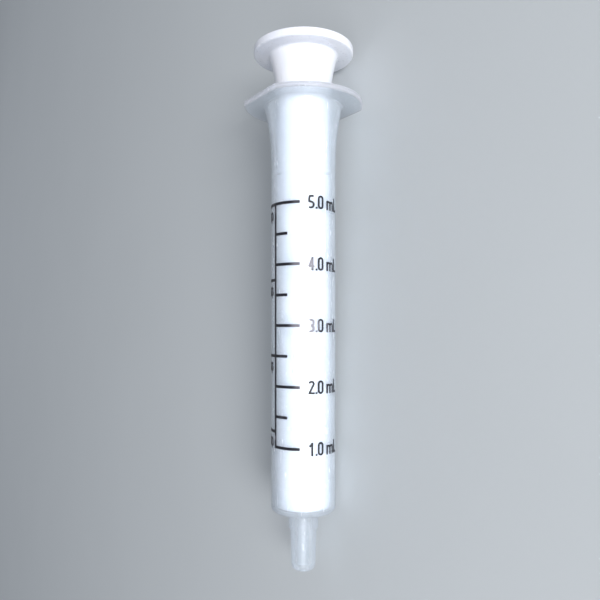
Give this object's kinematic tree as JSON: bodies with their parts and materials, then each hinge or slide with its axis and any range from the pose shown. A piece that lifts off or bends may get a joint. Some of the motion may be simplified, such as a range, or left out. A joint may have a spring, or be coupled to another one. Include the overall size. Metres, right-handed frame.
{
  "type": "oral syringe",
  "caption": "Slim oral dosing syringe: translucent barrel with tapered nozzle, finger flange and printed scales, and a white one-piece plunger that slides in it.",
  "frame": {"origin": "centre of the barrel's front face, where the nozzle starts", "axes": "+Y along the syringe from the nozzle to the thumb disc; +Z square to the flange's flats, out of the line between the two scales; the millilitre scale is on the +X side and the syringe lies with a flat down"},
  "size_m": [0.0228, 0.1, 0.02],
  "materials": {
    "barrel_plastic": "translucent natural polypropylene, satin",
    "plunger_plastic": "opaque white polyethylene, semi-gloss",
    "ink": "black pad-printed ink"
  },
  "bodies": {
    "barrel": {"barrel": "barrel_plastic", "ml_axis_line": "ink", "ml_whole_marks": "ink", "ml_half_marks": "ink", "ml_numerals": "ink", "ml_unit": "ink", "tsp_marks": "ink", "tsp_numerals": "ink", "tsp_unit": "ink"},
    "plunger": {"plunger": "plunger_plastic"}
  },
  "joints": [
    {"name": "plunger_slide", "type": "slide", "parent": "barrel", "child": "plunger", "axis": [0, 1, 0], "range_m": [0, 0.0579]}
  ]
}
